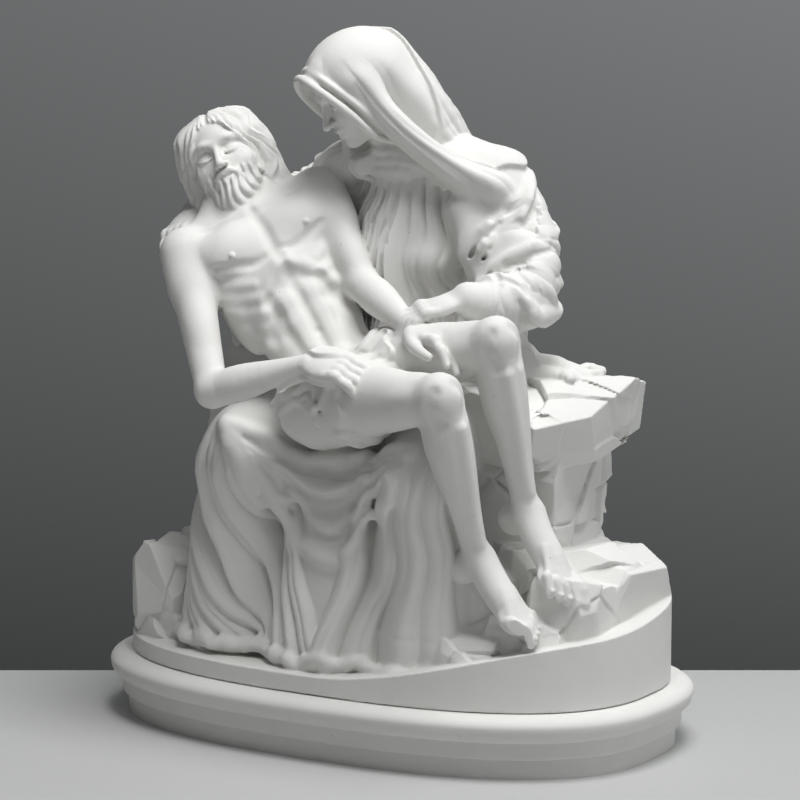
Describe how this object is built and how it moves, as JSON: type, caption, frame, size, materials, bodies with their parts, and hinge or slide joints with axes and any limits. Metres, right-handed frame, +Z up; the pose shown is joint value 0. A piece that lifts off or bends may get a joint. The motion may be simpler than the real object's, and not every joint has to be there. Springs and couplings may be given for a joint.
{
  "type": "pieta statuette",
  "caption": "Cast white statuette of a seated veiled mother with a dead son across her lap, on a rocky seat and a moulded oval plinth.",
  "frame": {"origin": "on the table, under the middle of the plinth", "axes": "+Z up, +X along the oval's length to the mother's left, the side of the high rock slab, and -Y the front that she faces"},
  "size_m": [0.299, 0.1864, 0.3396],
  "materials": {
    "cast_plaster": "matte white cast plaster with a faint satin on worn edges",
    "plinth_plaster": "matte white cast plaster, smooth moulded faces with casting pinholes"
  },
  "bodies": {
    "root": {"mourning_group": "cast_plaster", "plinth": "plinth_plaster"}
  },
  "joints": []
}
